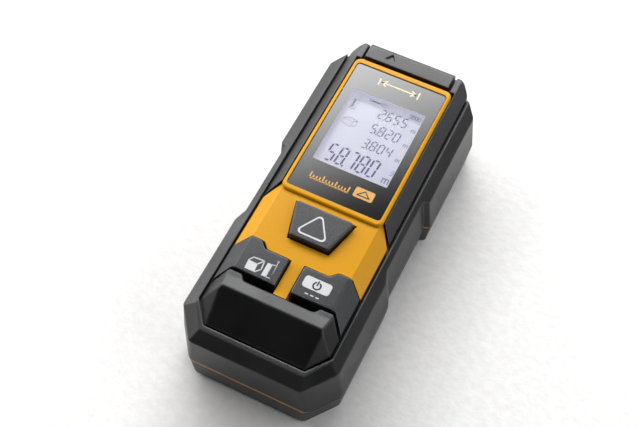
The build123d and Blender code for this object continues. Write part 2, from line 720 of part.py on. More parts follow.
with BuildPart() as laser_tube:
    with BuildSketch(section(TUBE_END)):
        with Locations((LASER_X, AXIS_Z)):
            Circle(TUBE_RADIUS)
            Circle(TUBE_RADIUS - TUBE_WALL, mode=Mode.SUBTRACT)
    extrude(amount=TUBE_LENGTH)
laser_tube.part.label = "laser_tube"

with BuildPart() as collimator_lens:
    with BuildSketch(section(89.0)):
        with Locations((LASER_X, AXIS_Z)):
            Circle(TUBE_RADIUS - TUBE_WALL - FIT)
    extrude(amount=2.0)
collimator_lens.part.label = "collimator_lens"

with BuildPart() as laser_diode:
    with BuildSketch(section(70.0)):
        with Locations((LASER_X, AXIS_Z)):
            Circle(TUBE_RADIUS - TUBE_WALL - FIT)
    extrude(amount=1.2)
    with BuildSketch(section(71.8)):
        with Locations((LASER_X, AXIS_Z)):
            Circle(1.6)
    extrude(amount=1.8)
    with BuildSketch(section(68.8)):
        with Locations((LASER_X, AXIS_Z)):
            with PolarLocations(1.0, 3):
                Circle(0.22)
    extrude(amount=4.0)
laser_diode.part.label = "laser_diode"

with BuildPart() as detector_board:
    with BuildSketch(section(OPTICS_START - DETECTOR_GAP)):
        with Locations((LENS_X, AXIS_Z)):
            Rectangle(*DETECTOR_SIZE[:2])
    extrude(amount=DETECTOR_SIZE[2])
    with BuildSketch(section(OPTICS_START - DETECTOR_GAP)):
        with Locations((LENS_X, AXIS_Z)):
            Circle(1.5)
    extrude(amount=-1.0)
detector_board.part.label = "detector_board"

with BuildPart() as end_bezel:
    with BuildSketch(section(LENGTH)):
        with Locations((0, AXIS_Z)):
            RectangleRounded(2 * PORT_SIDE - 0.2, 2 * PORT_RISE - 0.2, 1.9)
        with Locations((LENS_X, AXIS_Z)):
            Circle(LENS_RADIUS, mode=Mode.SUBTRACT)
        with Locations((LASER_X, AXIS_Z)):
            Circle(TUBE_RADIUS - 0.8, mode=Mode.SUBTRACT)
    extrude(amount=BEZEL_PLATE)
    chamfer(end_bezel.edges().filter_by(GeomType.CIRCLE).group_by(Axis.Y)[-1], length=0.35)
end_bezel.part.label = "end_bezel"

end_windows = []
for window_name, centre, radius in (
    ("receiver_window", LENS_X, LENS_RADIUS + 0.5),
    ("laser_window", LASER_X, TUBE_RADIUS),
):
    with BuildPart() as end_window:
        with BuildSketch(section(LENGTH - BEZEL_PLATE)):
            with Locations((centre, AXIS_Z)):
                Circle(radius)
        extrude(amount=PANE_THICK)
    end_window.part.label = window_name
    end_windows.append(end_window)

# ---------------------------------------------------------------- battery bay, cells and contacts
with BuildPart() as battery_tray:
    with BuildSketch(level(WALL)):
        with Locations((0, (TRAY_START + TRAY_END) / 2)):
            Rectangle(2 * TRAY_SIDE, TRAY_END - TRAY_START)
    extrude(amount=TRAY_TOP - WALL)
    with BuildSketch(level(WALL)):
        with Locations((0, (TRAY_START + TRAY_END) / 2)):
            Rectangle(2 * (TRAY_SIDE - TRAY_WALL), TRAY_END - TRAY_START - 2 * TRAY_WALL)
    extrude(amount=TRAY_TOP - WALL - TRAY_WALL, mode=Mode.SUBTRACT)
    with BuildSketch(level(TRAY_TOP)):
        with Locations((0, 24.0)):
            Circle(5.2)
    extrude(amount=-TRAY_WALL / 2, mode=Mode.SUBTRACT)
battery_tray.part.label = "battery_tray"

BAY_LOW = TRAY_START + TRAY_WALL
BAY_HIGH = TRAY_END - TRAY_WALL
battery_parts = []
for side, hand in ((-1, "left"), (1, "right")):
    # the left cell's button faces the laser end, the right cell's the rear
    spring_end = BAY_LOW + CONTACT_THICK if side < 0 else BAY_HIGH - CONTACT_THICK
    cell_end = spring_end - side * SPRING_LENGTH
    with BuildPart() as cell:
        with BuildSketch(section(cell_end)):
            with Locations((side * CELL_X, CELL_Z)):
                Circle(CELL_RADIUS)
        extrude(amount=side * (CELL_LENGTH - NUB_RISE))
        fillet(cell.edges().filter_by(GeomType.CIRCLE), radius=0.4)
        with BuildSketch(section(cell_end - side * (CELL_LENGTH - NUB_RISE))):
            with Locations((side * CELL_X, CELL_Z)):
                Circle(NUB_RADIUS)
        extrude(amount=side * NUB_RISE)
    cell.part.label = f"cell_{hand}"
    with BuildPart() as spring:
        foot = (side * CELL_X, REAR + min(spring_end, cell_end) + 0.4, CELL_Z)
        with BuildLine():
            coil = Helix(1.15, SPRING_LENGTH - 0.8, 2.6, center=foot, direction=(0, 1, 0))
        with BuildSketch(Plane(origin=coil @ 0, z_dir=coil % 0)):
            Circle(0.3)
        sweep(is_frenet=True)
    spring.part.label = f"cell_spring_{hand}"
    battery_parts += [cell, spring]

with BuildPart() as rear_contact:
    with BuildSketch(section(BAY_LOW + CONTACT_THICK)):
        with Locations((0, CELL_Z)):
            Rectangle(2 * CELL_X + CONTACT_SIZE[0], CONTACT_SIZE[1])
    extrude(amount=CONTACT_THICK)
rear_contact.part.label = "rear_contact"
battery_parts.append(rear_contact)

for side, hand in ((-1, "left"), (1, "right")):
    with BuildPart() as contact:
        with BuildSketch(section(BAY_HIGH)):
            with Locations((side * CELL_X, CELL_Z)):
                Rectangle(*CONTACT_SIZE)
        extrude(amount=CONTACT_THICK)
    contact.part.label = f"contact_{hand}"
    battery_parts.append(contact)

with BuildPart() as battery_cover:
    with BuildSketch(level(0)):
        with Locations((0, (COVER_START + COVER_END) / 2)):
            RectangleRounded(2 * COVER_SIDE, COVER_END - COVER_START, 0.8)
        # two slits free the latch tongue at the rear edge
        for side in (1, -1):
            with Locations((side * (TONGUE_SIDE + TONGUE_SLIT / 2), COVER_START + TONGUE_LENGTH / 2)):
                Rectangle(TONGUE_SLIT, TONGUE_LENGTH, mode=Mode.SUBTRACT)
    extrude(amount=COVER_THICK)
    # finger grooves across the tongue
    with BuildSketch(level(0)):
        with GridLocations(0, 1.5, 1, 4):
            with Locations((0, COVER_START + 4.6)):
                Rectangle(2 * TONGUE_SIDE - 1.5, 0.6)
    extrude(amount=0.4, mode=Mode.SUBTRACT)
battery_cover.part.label = "battery_cover"

# ---------------------------------------------------------------- fasteners and label
with BuildPart() as housing_screws:
    with BuildSketch(level(SCREW_SEAT - HEAD_RISE)):
        with Locations(*SCREW_PLACES):
            Circle(HEAD_RADIUS)
    extrude(amount=HEAD_RISE)
    with BuildSketch(level(SCREW_SEAT)):
        with Locations(*SCREW_PLACES):
            Circle(SHANK_RADIUS)
    extrude(amount=SHANK_LENGTH)
    with BuildSketch(level(SCREW_SEAT - HEAD_RISE)):
        with Locations(*SCREW_PLACES):
            RegularPolygon(SOCKET_RADIUS, 6)
    extrude(amount=SOCKET_DEPTH, mode=Mode.SUBTRACT)
housing_screws.part.label = "housing_screws"

with BuildPart() as rating_label:
    with BuildSketch(level(LABEL_SEAT / 2)):
        with Locations((0, LABEL_Y)):
            RectangleRounded(LABEL_SIZE[0] - 0.6, LABEL_SIZE[1] - 0.6, 1.2)
    extrude(amount=LABEL_SEAT / 2)
rating_label.part.label = "rating_label"

# ---------------------------------------------------------------- write every piece
pieces = [rear_housing, housing_seal, front_housing, bumper, head_frame, head_plate]
pieces += [keypad_mat, thumb_rest]
pieces += [measure_button, *keys, display_window, lcd_backlight, lcd_panel, lcd_connector]
pieces += [main_board, *dome_switches, controller_chip, buzzer, board_screws]
pieces += [optics_block, receiver_lens, laser_tube, collimator_lens, laser_diode, detector_board]
pieces += [end_bezel, *end_windows, battery_tray, *battery_parts, battery_cover]
pieces += [housing_screws, rating_label]

for piece in pieces:
    export_step(piece.part, f"parts/{piece.part.label}.step")
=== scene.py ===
import json
import math

import bmesh
import bpy
from mathutils import Matrix, Vector


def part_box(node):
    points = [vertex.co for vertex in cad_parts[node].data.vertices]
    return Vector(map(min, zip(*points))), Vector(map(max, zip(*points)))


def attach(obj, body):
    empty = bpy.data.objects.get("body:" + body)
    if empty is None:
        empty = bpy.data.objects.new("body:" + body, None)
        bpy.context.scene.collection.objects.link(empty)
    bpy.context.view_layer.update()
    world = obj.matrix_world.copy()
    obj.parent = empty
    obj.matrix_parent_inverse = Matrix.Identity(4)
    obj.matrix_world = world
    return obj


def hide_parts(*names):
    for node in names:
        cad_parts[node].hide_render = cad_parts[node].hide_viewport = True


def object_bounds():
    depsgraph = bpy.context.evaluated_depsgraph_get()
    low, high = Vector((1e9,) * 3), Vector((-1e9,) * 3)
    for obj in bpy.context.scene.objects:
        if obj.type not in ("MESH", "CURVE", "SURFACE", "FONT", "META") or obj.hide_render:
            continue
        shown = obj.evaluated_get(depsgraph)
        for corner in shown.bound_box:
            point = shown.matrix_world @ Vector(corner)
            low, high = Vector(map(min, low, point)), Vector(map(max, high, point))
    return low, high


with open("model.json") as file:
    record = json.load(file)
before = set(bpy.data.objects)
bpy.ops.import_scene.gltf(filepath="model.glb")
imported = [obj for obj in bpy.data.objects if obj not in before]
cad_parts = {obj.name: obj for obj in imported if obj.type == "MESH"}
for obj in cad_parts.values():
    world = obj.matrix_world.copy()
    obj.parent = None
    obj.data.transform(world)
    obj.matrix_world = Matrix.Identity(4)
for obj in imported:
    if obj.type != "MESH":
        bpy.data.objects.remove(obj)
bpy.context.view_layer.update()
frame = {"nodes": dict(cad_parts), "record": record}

MM = 0.001
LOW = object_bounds()[0]
REAR = LOW.y              # the measuring edge; stations are measured from it


# ------------------------------------------------------------------ materials
NOISE_LOW, NOISE_HIGH = 0.3, 0.7      # most noise values lie between these
PATCHES = 0.06            # per mm; the broad patches of uneven gloss and of the paler edges, which are wear and, on the keys, partly a painted highlight
EDGE_SAMPLES = 6          # rays to each rounded edge


def link(tree, source, target):
    tree.links.new(source, target)


def scaled(colour, factor):
    """A paler or darker version of a colour."""
    return tuple(min(1.0, channel * factor) for channel in colour)


def new_material(name, roughness, metallic=0.0, specular=0.5):
    """A Principled material whose even values sit on the shader itself."""
    mat = bpy.data.materials.new(name)
    mat.use_nodes = True
    shader = mat.node_tree.nodes["Principled BSDF"]
    shader.inputs["Metallic"].default_value = metallic
    shader.inputs["Roughness"].default_value = roughness
    shader.inputs["Specular IOR Level"].default_value = specular
    return mat, mat.node_tree, shader


def noise(tree, per_mm, detail=3.0, rough=0.6, stretch=(1, 1, 1)):
    """Noise in the object's own coordinates; per_mm is how many bumps a millimetre holds."""
    coords = tree.nodes.new("ShaderNodeTexCoord")
    mapping = tree.nodes.new("ShaderNodeMapping")
    mapping.inputs["Scale"].default_value = stretch
    texture = tree.nodes.new("ShaderNodeTexNoise")
    texture.inputs["Scale"].default_value = per_mm / MM
    texture.inputs["Detail"].default_value = detail
    texture.inputs["Roughness"].default_value = rough
    link(tree, coords.outputs["Object"], mapping.inputs["Vector"])
    link(tree, mapping.outputs["Vector"], texture.inputs["Vector"])
    return texture.outputs["Fac"]


def ramp(tree, source, low, high):
    """Map a grey value between two colours."""
    node = tree.nodes.new("ShaderNodeValToRGB")
    first, last = node.color_ramp.elements
    first.position, last.position = NOISE_LOW, NOISE_HIGH
    first.color, last.color = (*low, 1), (*high, 1)
    link(tree, source, node.inputs["Fac"])
    return node.outputs["Color"]


def span(tree, source, low, high, start=NOISE_LOW, end=NOISE_HIGH):
    """Map a grey value between two numbers."""
    node = tree.nodes.new("ShaderNodeMapRange")
    node.inputs["From Min"].default_value = start
    node.inputs["From Max"].default_value = end
    node.inputs["To Min"].default_value = low
    node.inputs["To Max"].default_value = high
    link(tree, source, node.inputs["Value"])
    return node.outputs["Result"]


def mix_colour(tree, factor, first, second):
    """Blend from a colour socket towards a fixed colour by a grey value."""
    node = tree.nodes.new("ShaderNodeMix")
    node.data_type = "RGBA"
    link(tree, factor, node.inputs["Factor"])
    link(tree, first, node.inputs["A"])
    node.inputs["B"].default_value = (*second, 1)
    return node.outputs["Result"]


def add_bump(tree, shader, height, depth, strength=1.0):
    """Make a surface uneven by a grey value; depth is in mm."""
    bump = tree.nodes.new("ShaderNodeBump")
    bump.inputs["Strength"].default_value = strength
    bump.inputs["Distance"].default_value = depth * MM
    link(tree, height, bump.inputs["Height"])
    link(tree, bump.outputs["Normal"], shader.inputs["Normal"])
    return bump


def edge_mask(tree, rounded):
    """A grey value that is high where the rounded normal leaves the flat one, on the edges."""
    geometry = tree.nodes.new("ShaderNodeNewGeometry")
    dot = tree.nodes.new("ShaderNodeVectorMath")
    dot.operation = "DOT_PRODUCT"
    link(tree, geometry.outputs["Normal"], dot.inputs[0])
    link(tree, rounded, dot.inputs[1])
    return span(tree, dot.outputs["Value"], 1.0, 0.0, start=0.90, end=0.995)


def moulded(name, colour, roughness, grain=5.0, depth=0.012, spread=0.15, edge_wear_and_highlight=None, specular=0.5,
            edge=0.22):
    """Moulded plastic or rubber: fine grain, uneven gloss, rounded edges and a paler colour along them,
    which is wear and, on the keys, partly a painted highlight on their rims.
    """
    mat, tree, shader = new_material(name, roughness, specular=specular)
    bevel = tree.nodes.new("ShaderNodeBevel")
    bevel.samples = EDGE_SAMPLES
    bevel.inputs["Radius"].default_value = edge * MM
    fine = noise(tree, grain)
    cloudy = noise(tree, PATCHES, detail=5.0)
    tone = ramp(tree, fine, scaled(colour, 1 - spread), scaled(colour, 1 + spread))
    # the paler edge colour is wear, and on the keys partly a painted highlight along the rims
    if edge_wear_and_highlight:
        wear_and_highlight = tree.nodes.new("ShaderNodeMath")
        wear_and_highlight.operation = "MULTIPLY"
        link(tree, edge_mask(tree, bevel.outputs["Normal"]), wear_and_highlight.inputs[0])
        link(tree, span(tree, cloudy, 0.25, 0.8), wear_and_highlight.inputs[1])
        tone = mix_colour(tree, wear_and_highlight.outputs["Value"], tone, edge_wear_and_highlight)
    link(tree, tone, shader.inputs["Base Color"])
    link(tree, span(tree, cloudy, roughness - 0.06, roughness + 0.06), shader.inputs["Roughness"])
    bump = add_bump(tree, shader, fine, depth, strength=0.6)
    link(tree, bevel.outputs["Normal"], bump.inputs["Normal"])
    return mat


def metal(name, colour, roughness, stretch=(1, 1, 1)):
    """Metal with fine brushed or plated streaks."""
    mat, tree, shader = new_material(name, roughness, metallic=1.0)
    streaks = noise(tree, 1.5, detail=4.0, stretch=stretch)
    link(tree, ramp(tree, streaks, scaled(colour, 0.8), colour), shader.inputs["Base Color"])
    link(tree, span(tree, streaks, roughness - 0.07, roughness + 0.1), shader.inputs["Roughness"])
    add_bump(tree, shader, streaks, depth=0.004)
    return mat


def clear_glass(name, tint, roughness=0.03, ior=1.45):
    """Clear sheet or lens with a faint haze of finger grease."""
    mat, tree, shader = new_material(name, roughness)
    shader.inputs["Transmission Weight"].default_value = 1.0
    shader.inputs["IOR"].default_value = ior
    haze = noise(tree, 0.12, detail=6.0)
    link(tree, ramp(tree, haze, tint, scaled(tint, 1.03)), shader.inputs["Base Color"])
    greasy = span(tree, haze, roughness, roughness + 0.05, start=0.45, end=0.75)
    link(tree, greasy, shader.inputs["Roughness"])
    return mat


def lit_panel(name, colour, strength):
    """Liquid crystal panel that glows softly, with faint clouds and a very fine grain; the glow is
    partly its backlight and partly painted light in place of the lamp light that the glass keeps off.
    """
    mat, tree, shader = new_material(name, 0.25)
    soft = noise(tree, 0.04, detail=2.0)
    tone = ramp(tree, soft, scaled(colour, 0.93), colour)
    link(tree, mix_colour(tree, soft, tone, (0.02, 0.02, 0.03)), shader.inputs["Base Color"])
    link(tree, tone, shader.inputs["Emission Color"])
    shader.inputs["Emission Strength"].default_value = strength
    add_bump(tree, shader, noise(tree, 8.0), depth=0.002)
    return mat


def printed(name, colour, roughness=0.45, painted_glow=0.0, specular=0.5):
    """Screen-printed ink with slightly uneven cover; a glow, where given, is painted light on ink under
    the glass, in place of the lamp light that the glass keeps off.
    """
    mat, tree, shader = new_material(name, roughness, specular=specular)
    speckle = noise(tree, 9.0)
    tone = ramp(tree, speckle, scaled(colour, 0.88), colour)
    link(tree, tone, shader.inputs["Base Color"])
    link(tree, span(tree, speckle, roughness, roughness * 1.3), shader.inputs["Roughness"])
    # painted light: ink under the glass glows in place of the lamp light that it does not get
    if painted_glow:
        link(tree, tone, shader.inputs["Emission Color"])
        shader.inputs["Emission Strength"].default_value = painted_glow
    return mat


SOFT_BLACK = (0.003, 0.003, 0.0035)
MATERIALS = {
    "charcoal_shell": moulded("charcoal_shell", (0.012, 0.012, 0.0135), 0.38, grain=2.2, depth=0.04,
                              spread=0.4, edge_wear_and_highlight=(0.16, 0.16, 0.165), edge=0.3),
    "bumper_rubber": moulded("bumper_rubber", SOFT_BLACK, 0.40, grain=2.2, depth=0.04, spread=0.4,
                             edge_wear_and_highlight=(0.15, 0.15, 0.15), specular=0.45, edge=0.6),
    "yellow_shell": moulded("yellow_shell", (0.60, 0.275, 0.001), 0.36, grain=3.0, depth=0.006,
                            spread=0.05, edge_wear_and_highlight=(0.85, 0.52, 0.04), specular=0.18),
    "rest_gloss": moulded("rest_gloss", SOFT_BLACK, 0.36, grain=2.2, depth=0.03,
                          edge_wear_and_highlight=(0.12, 0.12, 0.125), specular=0.4, edge=0.9),
    # the keys' pale edge colour is partly wear and partly a painted highlight along their rims
    "key_rubber": moulded("key_rubber", (0.015, 0.0155, 0.018), 0.42, grain=1.8, depth=0.09, spread=0.6,
                          edge_wear_and_highlight=(0.45, 0.45, 0.45), edge=0.4),
    "window": clear_glass("window", (0.97, 0.98, 0.98), roughness=0.01, ior=1.14),
    # the LCD's glow is partly the backlight and partly painted light in place of the lamp light that the
    # glass keeps off
    "lcd": lit_panel("lcd", (0.11, 0.11, 0.135), strength=4.4),
    "white_plastic": moulded("white_plastic", (0.78, 0.78, 0.76), 0.5, spread=0.04),
    "seal_rubber": moulded("seal_rubber", (0.012, 0.012, 0.012), 0.6),
    "circuit_board": moulded("circuit_board", (0.012, 0.10, 0.035), 0.35, grain=1.0, depth=0.01),
    "black_plastic": moulded("black_plastic", (0.015, 0.015, 0.015), 0.5),
    "spring_steel": metal("spring_steel", (0.62, 0.61, 0.58), 0.28, stretch=(1, 6, 1)),
    "screw_steel": metal("screw_steel", (0.20, 0.20, 0.21), 0.35),
    "cell_jacket": moulded("cell_jacket", (0.07, 0.10, 0.14), 0.25, grain=0.6, depth=0.004, spread=0.1),
    "optics_metal": metal("optics_metal", (0.42, 0.42, 0.43), 0.42),
    "tube_brass": metal("tube_brass", (0.72, 0.52, 0.22), 0.3, stretch=(1, 8, 1)),
    "optic_glass": clear_glass("optic_glass", (0.80, 0.72, 0.88)),
    "label_paper": moulded("label_paper", (0.50, 0.50, 0.49), 0.4, grain=2.0, depth=0.003, spread=0.05),
}
WHITE_INK = printed("white_ink", (0.58, 0.59, 0.61))
GOLD_INK = printed("gold_ink", (0.78, 0.66, 0.42))
AMBER_INK = printed("amber_ink", (0.62, 0.32, 0.06))
BLACK_PRINT = printed("black_print", (0.008, 0.008, 0.009), roughness=0.30)
GLOSS_BLACK = printed("gloss_black", (0.005, 0.005, 0.005), roughness=0.10, specular=0.8)
# the LCD inks glow: painted light in place of the lamp light that the glass keeps off
LCD_INK = printed("lcd_ink", (0.045, 0.045, 0.10), roughness=0.5, painted_glow=1.1)
LCD_PALE = printed("lcd_pale_ink", (0.07, 0.07, 0.12), roughness=0.5, painted_glow=1.5)
SLOTS = {row["node"]: row["material_slot"] for row in frame["record"]["subparts"]}

for node_name, slot_name in SLOTS.items():
    mesh = frame["nodes"][node_name].data
    mesh.materials.clear()
    mesh.materials.append(MATERIALS[slot_name])


# ------------------------------------------------------------------ helpers for pieces
def piece_from(name, bm, body, material):
    """Turn a bmesh into a finished piece that rides on a body."""
    mesh = bpy.data.meshes.new(name)
    bm.to_mesh(mesh)
    bm.free()
    mesh.materials.append(material)
    piece = bpy.data.objects.new(name, mesh)
    bpy.context.scene.collection.objects.link(piece)
    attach(piece, body)
    return piece


MERGE = 0.002             # mm; vertices closer than this are one
FLAT_ANGLE = 0.6          # degrees; faces that turn less are joined before rounding
SHARP_ANGLE = 22.0        # degrees; edges that turn more are rounded


def softened(node_name, width, body="casing"):
    """A copy of a CAD piece with its sharp edges rounded, which stands for that piece."""
    bm = bmesh.new()
    bm.from_mesh(frame["nodes"][node_name].data)
    bmesh.ops.remove_doubles(bm, verts=bm.verts, dist=MERGE * MM)
    bmesh.ops.dissolve_limit(bm, angle_limit=math.radians(FLAT_ANGLE), verts=bm.verts, edges=bm.edges)
    sharp = [
        edge for edge in bm.edges
        if len(edge.link_faces) == 2 and math.degrees(edge.calc_face_angle(0.0)) > SHARP_ANGLE
    ]
    bmesh.ops.bevel(bm, geom=sharp, offset=width * MM, segments=3, profile=0.5, affect="EDGES",
                    clamp_overlap=False, miter_outer="ARC")
    bmesh.ops.remove_doubles(bm, verts=bm.verts, dist=MERGE * MM)
    bmesh.ops.recalc_face_normals(bm, faces=bm.faces)
    for face in bm.faces:
        face.smooth = True
    slot_name = SLOTS[node_name]
    piece = piece_from(node_name + "_soft", bm, body, MATERIALS[slot_name])
    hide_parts(node_name)
    corners = piece.modifiers.new("flat_faces", "WEIGHTED_NORMAL")
    corners.keep_sharp = False
    corners.weight = 100


KEY_EDGES = {"measure_button": 0.18, "mode_key": 0.28, "power_key": 0.28}
softened("head_plate", 0.22)
for key_name, key_width in KEY_EDGES.items():
    softened(key_name, key_width, body=key_name)

INK = 0.03                # thickness of every print
OVER_INK = 0.032          # foot of a print above the foot of the one that it lies on
OVERRUN = 0.6             # a stroke runs past its points by this share of half its width
ARC_STEPS = 6             # sides to each rounded corner


def verts_at(bm, outline, height):
    """Vertices along an outline (stations, mm) at a height."""
    return [bm.verts.new((x * MM, REAR + y * MM, height * MM)) for x, y in outline]


def around(count):
    """Pairs of neighbours round a closed outline."""
    return [(i, (i + 1) % count) for i in range(count)]


def plate(bm, outline, height):
    """Add a print with this outline and its foot at a height."""
    foot = verts_at(bm, outline, height)
    top = verts_at(bm, outline, height + INK)
    bm.faces.new(top)
    bm.faces.new(list(reversed(foot)))
    for i, j in around(len(outline)):
        bm.faces.new((foot[i], foot[j], top[j], top[i]))


def stroke(start, end, width):
    """Outline of a straight stroke."""
    along = (Vector(end) - Vector(start)).normalized() * width / 2
    side = Vector((-along.y, along.x))
    a, b = Vector(start) - along * OVERRUN, Vector(end) + along * OVERRUN
    return [tuple(a + side), tuple(a - side), tuple(b - side), tuple(b + side)]


def strokes(bm, points, width, height, closed=False):
    """Line work along points."""
    pairs = list(zip(points, points[1:]))
    if closed:
        pairs.append((points[-1], points[0]))
    for start, end in pairs:
        plate(bm, stroke(start, end, width), height)


def ring(bm, outer, inner, height):
    """Print between two outlines with the same number of points."""
    low_out, low_in = (verts_at(bm, outline, height) for outline in (outer, inner))
    top_out, top_in = (verts_at(bm, outline, height + INK) for outline in (outer, inner))
    for i, j in around(len(outer)):
        bm.faces.new((top_out[i], top_out[j], top_in[j], top_in[i]))
        bm.faces.new((low_in[i], low_in[j], low_out[j], low_out[i]))
        bm.faces.new((low_out[i], low_out[j], top_out[j], top_out[i]))
        bm.faces.new((top_in[i], top_in[j], low_in[j], low_in[i]))


def rounded_outline(points, radius):
    """Round every corner of a convex outline with an arc of this radius."""
    result = []
    count = len(points)
    for i in range(count):
        before, corner, after = (Vector(points[(i + k) % count]) for k in (-1, 0, 1))
        a, b = (before - corner).normalized(), (after - corner).normalized()
        half = a.angle(b) / 2
        run = radius / math.tan(half)
        centre = corner + (a + b).normalized() * (radius / math.sin(half))
        start, end = corner + a * run - centre, corner + b * run - centre
        sweep = start.angle_signed(end)
        for k in range(ARC_STEPS + 1):
            turn = Matrix.Rotation(-sweep * k / ARC_STEPS, 2)
            result.append(tuple(centre + turn @ start))
    return result


def box_outline(x0, y0, x1, y1):
    """Outline of a box between two corners."""
    return [(x0, y0), (x1, y0), (x1, y1), (x0, y1)]


# ------------------------------------------------------------------ display: mask, print and digits
GLASS_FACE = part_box("display_window")[1].z / MM
LCD_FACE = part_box("lcd_panel")[1].z / MM
MASK_Z = GLASS_FACE - 0.01           # foot of the printed mask, just inside the outer face of the glass
PRINT_Z = MASK_Z + OVER_INK
LCD_PRINT = LCD_FACE + 0.01
MASK_MARGIN = 0.1                    # bare rim of the glass outside the mask
VIEW = (-10.4, 56.8, 10.4, 81.4)     # opening of the mask: left, rear, right and front
window_low, window_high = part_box("display_window")
mask_outer = box_outline(window_low.x / MM + MASK_MARGIN, (window_low.y - REAR) / MM + MASK_MARGIN,
                         window_high.x / MM - MASK_MARGIN, (window_high.y - REAR) / MM - MASK_MARGIN)

bm = bmesh.new()
ring(bm, rounded_outline(mask_outer, 0.8), rounded_outline(box_outline(*VIEW), 0.3), MASK_Z)
piece_from("window_mask", bm, "casing", GLOSS_BLACK)

LEAN = 0.09               # slant of the digits, as a share of their height
SMALL = {"width": 1.3, "height": 2.9, "thick": 0.32}
LARGE = {"width": 1.85, "height": 5.3, "thick": 0.52}
SMALL_PITCH, LARGE_PITCH = 2.15, 2.92
READINGS = {"2.655": 76.9, "5.820": 71.8, "3.804": 66.7}     # small rows and their feet
TOTAL, TOTAL_FOOT = "58.780", 59.2
SEGMENTS = {
    "0": "abcdef", "2": "abged", "3": "abgcd", "4": "fgbc", "5": "afgcd", "6": "afgedc", "7": "abc",
    "8": "abcdefg",
}


def digit(bm, sign, x, y, width, height, thick):
    """One seven-segment sign; its foot stands at x, y."""
    end = thick * 0.6
    gap = thick * 0.12
    half = thick / 2
    mid = height / 2
    bars = {
        "a": ((end, height), (width - end, height)), "d": ((end, 0), (width - end, 0)),
        "g": ((end, mid), (width - end, mid)),
        "f": ((0, mid + gap), (0, height - gap)), "b": ((width, mid + gap), (width, height - gap)),
        "e": ((0, gap), (0, mid - gap)), "c": ((width, gap), (width, mid - gap)),
    }
    for letter in SEGMENTS[sign]:
        (x0, y0), (x1, y1) = bars[letter]
        if letter in "adg":
            shape = [(x0, y0), (x0 + half, y0 + half), (x1 - half, y0 + half), (x1, y0),
                     (x1 - half, y0 - half), (x0 + half, y0 - half)]
        else:
            shape = [(x0, y0), (x0 - half, y0 + half), (x0 - half, y1 - half), (x0, y1),
                     (x0 + half, y1 - half), (x0 + half, y0 + half)]
        shape = [(x + px + LEAN * py, y + py) for px, py in reversed(shape)]
        plate(bm, shape, LCD_PRINT)


def number(bm, text, x, y, width, height, thick, pitch):
    """A row of signs; a point takes no room of its own."""
    for sign in text:
        if sign == ".":
            foot = x - (pitch - width) / 2 - thick / 2
            dot = box_outline(foot, y - thick / 2, foot + thick, y + thick / 2)
            plate(bm, dot, LCD_PRINT)
        else:
            digit(bm, sign, x, y, width, height, thick)
            x += pitch


bm = bmesh.new()
for text, foot in READINGS.items():
    number(bm, text, -1.4, foot, **SMALL, pitch=SMALL_PITCH)
number(bm, TOTAL, -8.5, TOTAL_FOOT, **LARGE, pitch=LARGE_PITCH)
piece_from("lcd_digits", bm, "casing", LCD_INK)


def unit_sign(bm, x, y, size):
    """The metre sign as three feet under a bar, in shares of its size."""
    for k in range(3):
        left = x + k * size * 0.4
        plate(bm, box_outline(left, y, left + size * 0.16, y + size * 0.7), LCD_PRINT)
    plate(bm, box_outline(x, y + size * 0.62, x + size * 0.96, y + size * 0.8), LCD_PRINT)


FINE_LINE, SIGN_LINE = 0.13, 0.16     # line widths of the display's signs

bm = bmesh.new()
for foot in READINGS.values():
    unit_sign(bm, 8.3, foot - 0.5, 1.25)
unit_sign(bm, 7.7, TOTAL_FOOT - 0.2, 2.0)
digit(bm, "3", 8.7, 62.0, width=0.8, height=1.5, thick=0.2)
# box pictogram: its front, then its top and its side
front = [(-9.3, 71.6), (-6.6, 71.2), (-6.5, 72.8), (-9.2, 73.1)]
low_right, top_right, top_left = front[1:]
far_left, far_right, far_low = (-7.9, 73.9), (-5.4, 73.6), (-5.4, 71.9)
strokes(bm, front, FINE_LINE, LCD_PRINT, closed=True)
strokes(bm, [top_left, far_left, far_right, top_right], FINE_LINE, LCD_PRINT)
strokes(bm, [far_right, far_low, low_right], FINE_LINE, LCD_PRINT)
# status row: a beam with its arrow and the meter that it leaves, then the battery and its three bars
plate(bm, box_outline(-4.7, 81.0, -2.6, 81.5), LCD_PRINT)
plate(bm, [(-5.7, 81.25), (-4.9, 80.8), (-4.9, 81.7)], LCD_PRINT)
strokes(bm, [(-2.2, 80.9), (-2.2, 81.6), (-0.6, 81.6), (-0.6, 80.9)], SIGN_LINE, LCD_PRINT, closed=True)
strokes(bm, box_outline(6.3, 80.6, 9.2, 81.6), FINE_LINE, LCD_PRINT, closed=True)
for k in range(3):
    plate(bm, box_outline(6.6 + 0.8 * k, 80.85, 7.1 + 0.8 * k, 81.35), LCD_PRINT)
# corner frame with its column of four marks
strokes(bm, [(-8.0, 76.6), (-8.0, 81.6)], SIGN_LINE, LCD_PRINT)
strokes(bm, [(-9.6, 76.6), (-8.0, 76.6)], SIGN_LINE, LCD_PRINT)
for k in range(4):
    plate(bm, box_outline(-9.4, 77.1 + 0.75 * k, -8.6, 77.6 + 0.75 * k), LCD_PRINT)
piece_from("lcd_signs", bm, "casing", LCD_PALE)

# generic print on the mask: a measured span above the display, a rule and a badge below it
SPAN_LEFT, SPAN_RIGHT, SPAN_Y = -4.4, 5.4, 86.3
RULE_LEFT, RULE_RIGHT, RULE_Y = -8.6, 2.2, 51.2
TICKS, TICK_PITCH = 13, 0.88
BOLD_LINE = 0.42
BADGE = box_outline(3.5, 51.0, 8.8, 54.0)
BADGE_SIGN_Z = PRINT_Z + 0.035

